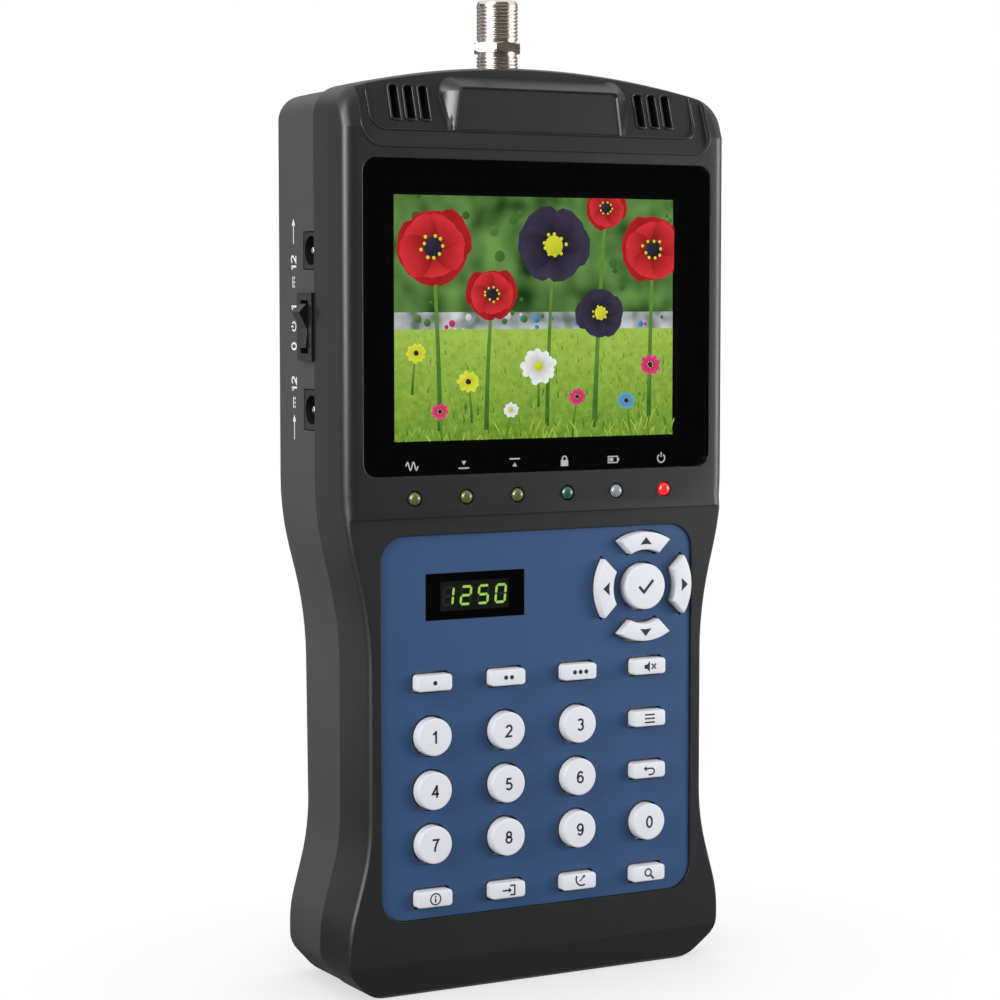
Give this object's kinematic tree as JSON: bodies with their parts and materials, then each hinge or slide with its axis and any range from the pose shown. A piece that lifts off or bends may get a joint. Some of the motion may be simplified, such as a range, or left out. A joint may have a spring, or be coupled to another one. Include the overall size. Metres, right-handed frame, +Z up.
{
  "type": "satellite signal meter",
  "caption": "Handheld satellite signal meter: waisted two-shell case with a screen, keypad, signal lamps, a threaded coaxial socket on top and power fittings on the left side.",
  "frame": {"origin": "middle of the flat sole that the meter stands on", "axes": "+X to the right seen from the front, -Y out of the screen towards the user, +Z up towards the coaxial socket"},
  "size_m": [0.0983, 0.0398, 0.217],
  "materials": {
    "front_shell": "fine-grained moulded ABS",
    "rear_shell": "fine-grained moulded ABS",
    "screw_steel": "zinc plated",
    "window_black": "polished acrylic with a black border",
    "lcd": "picture module",
    "panel_blue": "printed film",
    "digit_dark": "smoked acrylic",
    "display_body": "moulded epoxy",
    "mat_rubber": "moulded silicone",
    "board_green": "solder mask on glass fibre",
    "black_plastic": "moulded, semi-gloss",
    "can_steel": "tinned",
    "coax_nickel": "nickel plated",
    "insulator_white": "moulded",
    "lamp_olive": "clear tinted epoxy",
    "lamp_green": "clear tinted epoxy",
    "lamp_clear": "clear epoxy",
    "lamp_red": "clear tinted epoxy, lit",
    "rocker_black": "moulded, semi-gloss",
    "cell_wrap": "shrink-wrapped cells",
    "speaker_black": "moulded frame",
    "key_white": "moulded, satin"
  },
  "bodies": {
    "meter": {"front_housing": "front_shell", "rear_housing": "rear_shell", "housing_screws": "screw_steel", "display_window": "window_black", "lcd_module": "lcd", "keypad_panel": "panel_blue", "digit_window": "digit_dark", "digit_display": "display_body", "keypad_mat": "mat_rubber", "key_board": "board_green", "main_board": "board_green", "board_link": "black_plastic", "tuner_can": "can_steel", "coax_barrel": "coax_nickel", "coax_insulator": "insulator_white", "voltage_lamps": "lamp_olive", "lock_lamp": "lamp_green", "charge_lamp": "lamp_clear", "power_lamp": "lamp_red", "outlet_jack": "black_plastic", "inlet_jack": "black_plastic", "contact_pins": "coax_nickel", "switch_body": "black_plastic", "battery_pack": "cell_wrap", "speaker_left": "speaker_black", "speaker_right": "speaker_black"},
    "key_f1": {"key_f1": "key_white"},
    "key_f2": {"key_f2": "key_white"},
    "key_f3": {"key_f3": "key_white"},
    "key_mute": {"key_mute": "key_white"},
    "key_1": {"key_1": "key_white"},
    "key_2": {"key_2": "key_white"},
    "key_3": {"key_3": "key_white"},
    "key_menu": {"key_menu": "key_white"},
    "key_4": {"key_4": "key_white"},
    "key_5": {"key_5": "key_white"},
    "key_6": {"key_6": "key_white"},
    "key_exit": {"key_exit": "key_white"},
    "key_7": {"key_7": "key_white"},
    "key_8": {"key_8": "key_white"},
    "key_9": {"key_9": "key_white"},
    "key_0": {"key_0": "key_white"},
    "key_info": {"key_info": "key_white"},
    "key_input": {"key_input": "key_white"},
    "key_dish": {"key_dish": "key_white"},
    "key_search": {"key_search": "key_white"},
    "key_ok": {"key_ok": "key_white"},
    "key_right": {"key_right": "key_white"},
    "key_up": {"key_up": "key_white"},
    "key_left": {"key_left": "key_white"},
    "key_down": {"key_down": "key_white"},
    "rocker": {"switch_rocker": "rocker_black"}
  },
  "joints": [
    {"name": "key_f1_press", "type": "slide", "parent": "meter", "child": "key_f1", "axis": [0, 1, 0], "range_m": [0, 0.0008], "stiffness_N_per_m": 800, "springref_m": -0.0005},
    {"name": "key_f2_press", "type": "slide", "parent": "meter", "child": "key_f2", "axis": [0, 1, 0], "range_m": [0, 0.0008], "stiffness_N_per_m": 800, "springref_m": -0.0005},
    {"name": "key_f3_press", "type": "slide", "parent": "meter", "child": "key_f3", "axis": [0, 1, 0], "range_m": [0, 0.0008], "stiffness_N_per_m": 800, "springref_m": -0.0005},
    {"name": "key_mute_press", "type": "slide", "parent": "meter", "child": "key_mute", "axis": [0, 1, 0], "range_m": [0, 0.0008], "stiffness_N_per_m": 800, "springref_m": -0.0005},
    {"name": "key_1_press", "type": "slide", "parent": "meter", "child": "key_1", "axis": [0, 1, 0], "range_m": [0, 0.0008], "stiffness_N_per_m": 800, "springref_m": -0.0005},
    {"name": "key_2_press", "type": "slide", "parent": "meter", "child": "key_2", "axis": [0, 1, 0], "range_m": [0, 0.0008], "stiffness_N_per_m": 800, "springref_m": -0.0005},
    {"name": "key_3_press", "type": "slide", "parent": "meter", "child": "key_3", "axis": [0, 1, 0], "range_m": [0, 0.0008], "stiffness_N_per_m": 800, "springref_m": -0.0005},
    {"name": "key_menu_press", "type": "slide", "parent": "meter", "child": "key_menu", "axis": [0, 1, 0], "range_m": [0, 0.0008], "stiffness_N_per_m": 800, "springref_m": -0.0005},
    {"name": "key_4_press", "type": "slide", "parent": "meter", "child": "key_4", "axis": [0, 1, 0], "range_m": [0, 0.0008], "stiffness_N_per_m": 800, "springref_m": -0.0005},
    {"name": "key_5_press", "type": "slide", "parent": "meter", "child": "key_5", "axis": [0, 1, 0], "range_m": [0, 0.0008], "stiffness_N_per_m": 800, "springref_m": -0.0005},
    {"name": "key_6_press", "type": "slide", "parent": "meter", "child": "key_6", "axis": [0, 1, 0], "range_m": [0, 0.0008], "stiffness_N_per_m": 800, "springref_m": -0.0005},
    {"name": "key_exit_press", "type": "slide", "parent": "meter", "child": "key_exit", "axis": [0, 1, 0], "range_m": [0, 0.0008], "stiffness_N_per_m": 800, "springref_m": -0.0005},
    {"name": "key_7_press", "type": "slide", "parent": "meter", "child": "key_7", "axis": [0, 1, 0], "range_m": [0, 0.0008], "stiffness_N_per_m": 800, "springref_m": -0.0005},
    {"name": "key_8_press", "type": "slide", "parent": "meter", "child": "key_8", "axis": [0, 1, 0], "range_m": [0, 0.0008], "stiffness_N_per_m": 800, "springref_m": -0.0005},
    {"name": "key_9_press", "type": "slide", "parent": "meter", "child": "key_9", "axis": [0, 1, 0], "range_m": [0, 0.0008], "stiffness_N_per_m": 800, "springref_m": -0.0005},
    {"name": "key_0_press", "type": "slide", "parent": "meter", "child": "key_0", "axis": [0, 1, 0], "range_m": [0, 0.0008], "stiffness_N_per_m": 800, "springref_m": -0.0005},
    {"name": "key_info_press", "type": "slide", "parent": "meter", "child": "key_info", "axis": [0, 1, 0], "range_m": [0, 0.0008], "stiffness_N_per_m": 800, "springref_m": -0.0005},
    {"name": "key_input_press", "type": "slide", "parent": "meter", "child": "key_input", "axis": [0, 1, 0], "range_m": [0, 0.0008], "stiffness_N_per_m": 800, "springref_m": -0.0005},
    {"name": "key_dish_press", "type": "slide", "parent": "meter", "child": "key_dish", "axis": [0, 1, 0], "range_m": [0, 0.0008], "stiffness_N_per_m": 800, "springref_m": -0.0005},
    {"name": "key_search_press", "type": "slide", "parent": "meter", "child": "key_search", "axis": [0, 1, 0], "range_m": [0, 0.0008], "stiffness_N_per_m": 800, "springref_m": -0.0005},
    {"name": "key_ok_press", "type": "slide", "parent": "meter", "child": "key_ok", "axis": [0, 1, 0], "range_m": [0, 0.0008], "stiffness_N_per_m": 800, "springref_m": -0.0005},
    {"name": "key_right_press", "type": "slide", "parent": "meter", "child": "key_right", "axis": [0, 1, 0], "range_m": [0, 0.0008], "stiffness_N_per_m": 800, "springref_m": -0.0005},
    {"name": "key_up_press", "type": "slide", "parent": "meter", "child": "key_up", "axis": [0, 1, 0], "range_m": [0, 0.0008], "stiffness_N_per_m": 800, "springref_m": -0.0005},
    {"name": "key_left_press", "type": "slide", "parent": "meter", "child": "key_left", "axis": [0, 1, 0], "range_m": [0, 0.0008], "stiffness_N_per_m": 800, "springref_m": -0.0005},
    {"name": "key_down_press", "type": "slide", "parent": "meter", "child": "key_down", "axis": [0, 1, 0], "range_m": [0, 0.0008], "stiffness_N_per_m": 800, "springref_m": -0.0005},
    {"name": "power_rocker", "type": "hinge", "parent": "meter", "child": "rocker", "pos_m": [-0.0465, -0.0003, 0.14495], "axis": [0, 1, 0], "range_deg": [0, 22]}
  ]
}
